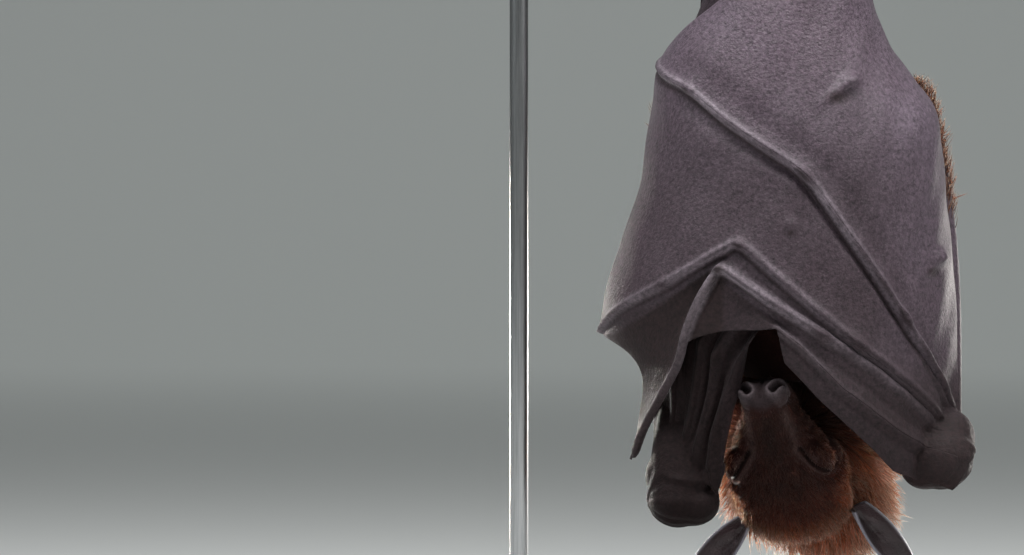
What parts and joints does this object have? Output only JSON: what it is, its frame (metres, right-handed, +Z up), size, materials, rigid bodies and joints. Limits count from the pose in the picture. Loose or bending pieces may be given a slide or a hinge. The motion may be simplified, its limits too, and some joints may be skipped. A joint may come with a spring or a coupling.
{
  "type": "fruit bat",
  "caption": "Fruit bat asleep head down with its wings wrapped round it, hanging from a short cut of branch on a plain display stand.",
  "frame": {"origin": "middle of the underside of the stand's base", "axes": "+Z up, from the base towards the perch; the bat's belly and the closed front of its wings face -Y; its left wing is at -X and its right wing at +X"},
  "size_m": [0.3, 0.17, 0.41],
  "materials": {
    "stand_base": "smooth dark stained wood, edges eased",
    "stand_rod": "plain drawn steel rod",
    "bark": "rough reddish-brown bark, pale sawn ends",
    "coat": "dark brown body fur",
    "mantle": "long reddish-orange mantle fur",
    "bare_skin": "thin dark bare skin of ears, thumbs and feet",
    "face": "very short dark brown fur; bare slate nose and closed lids",
    "membrane": "thin purple-grey wing skin with fine creases and a soft sheen",
    "claw": "dark horn, smooth and a little shiny"
  },
  "bodies": {
    "root": {"stand_base": "stand_base", "stand_rod_left": "stand_rod", "stand_rod_right": "stand_rod", "perch": "bark", "trunk": "coat", "neck": "mantle", "thigh_left": "coat", "shin_left": "coat", "foot_left": "bare_skin", "thigh_right": "coat", "shin_right": "coat", "foot_right": "bare_skin", "nose": "face", "lower_jaw": "face", "head": "face", "eyelid_left": "face", "ear_left": "bare_skin", "eyelid_right": "face", "ear_right": "bare_skin", "upper_arm_right": "coat", "forearm_right": "coat", "wrist_right": "membrane", "thumb_right": "bare_skin", "thumb_claw_right": "claw", "finger_5_right": "membrane", "finger_4_right": "membrane", "finger_3_right": "membrane", "finger_2_right": "membrane", "arm_membrane_right": "membrane", "hand_membrane_outer_right": "membrane", "hand_membrane_middle_right": "membrane", "hand_membrane_inner_right": "membrane", "leading_membrane_right": "membrane", "flank_membrane_right": "membrane", "bend_membrane_right": "membrane", "upper_arm_left": "coat", "forearm_left": "coat", "wrist_left": "membrane", "thumb_left": "bare_skin", "thumb_claw_left": "claw", "finger_5_left": "membrane", "finger_4_left": "membrane", "finger_3_left": "membrane", "finger_2_left": "membrane", "arm_membrane_left": "membrane", "hand_membrane_outer_left": "membrane", "hand_membrane_middle_left": "membrane", "hand_membrane_inner_left": "membrane", "leading_membrane_left": "membrane", "flank_membrane_left": "membrane", "bend_membrane_left": "membrane"}
  },
  "joints": []
}
